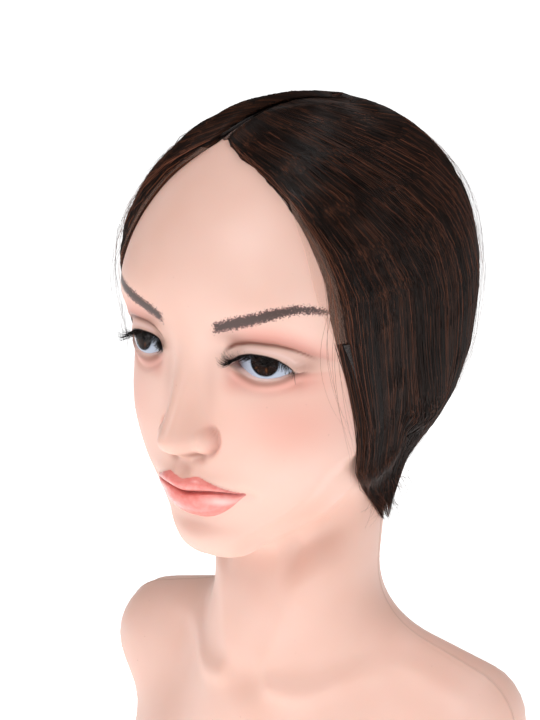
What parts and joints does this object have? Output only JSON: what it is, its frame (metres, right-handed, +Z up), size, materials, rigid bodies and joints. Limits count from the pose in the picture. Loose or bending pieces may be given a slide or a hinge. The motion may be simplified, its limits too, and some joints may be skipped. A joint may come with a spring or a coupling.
{
  "type": "mannequin training head",
  "caption": "Realistic painted bust mannequin head with inset eyes, strip lashes and a short dark brown wig that lifts off, on a flat base with a socket for a stand pin.",
  "frame": {"origin": "bottom centre of the whole object, on the surface that the rubber feet stand on", "axes": "+Z up, the face looks along -Y, the head's own left is +X"},
  "size_m": [0.2336, 0.2035, 0.4079],
  "materials": {
    "skin": "satin painted flesh",
    "seam_fibre": "raw laminate",
    "base_board": "sealed board",
    "steel": "zinc plated",
    "rubber": "matt",
    "eye_white": "polished",
    "iris": "printed",
    "cornea": "clear",
    "lash": "fibre",
    "cap_net": "stretch net",
    "lace": "fine lace",
    "elastic": "woven elastic",
    "comb_steel": "coated spring steel",
    "hair": "dark brown fibre"
  },
  "bodies": {
    "bust": {"base_blocks": "base_board", "base_plate": "base_board", "base_screws": "steel", "cornea_left": "cornea", "cornea_right": "cornea", "eye_white_left": "eye_white", "eye_white_right": "eye_white", "front_shell": "skin", "iris_left": "iris", "iris_right": "iris", "lash_left": "lash", "lash_right": "lash", "rear_shell": "skin", "rubber_feet": "rubber", "seam_strip": "seam_fibre", "socket_bolts": "steel", "socket_nuts": "steel", "stand_socket": "steel"},
    "wig": {"wig_cap": "cap_net", "lace_front": "lace", "ear_tab_left": "cap_net", "ear_tab_right": "cap_net", "nape_panel": "cap_net", "nape_band": "elastic", "adjuster_strap_left": "elastic", "adjuster_strap_right": "elastic", "strap_hook_left": "comb_steel", "strap_hook_right": "comb_steel", "comb_front": "comb_steel", "comb_side_left": "comb_steel", "comb_side_right": "comb_steel", "parting_strip": "lace", "hair_top_left": "hair", "hair_top_right": "hair", "hair_crown": "hair", "hair_side_left": "hair", "hair_side_right": "hair", "hair_back": "hair", "hair_nape": "hair"}
  },
  "joints": [
    {"name": "wig_lift_off", "type": "slide", "parent": "bust", "child": "wig", "axis": [0, 0, 1], "range_m": [0, 0.3], "deforming": ["wig_cap", "lace_front", "ear_tab_left", "ear_tab_right", "nape_panel", "nape_band", "adjuster_strap_left", "adjuster_strap_right", "strap_hook_left", "strap_hook_right", "hair_side_left", "hair_side_right", "hair_back", "hair_nape"]}
  ]
}
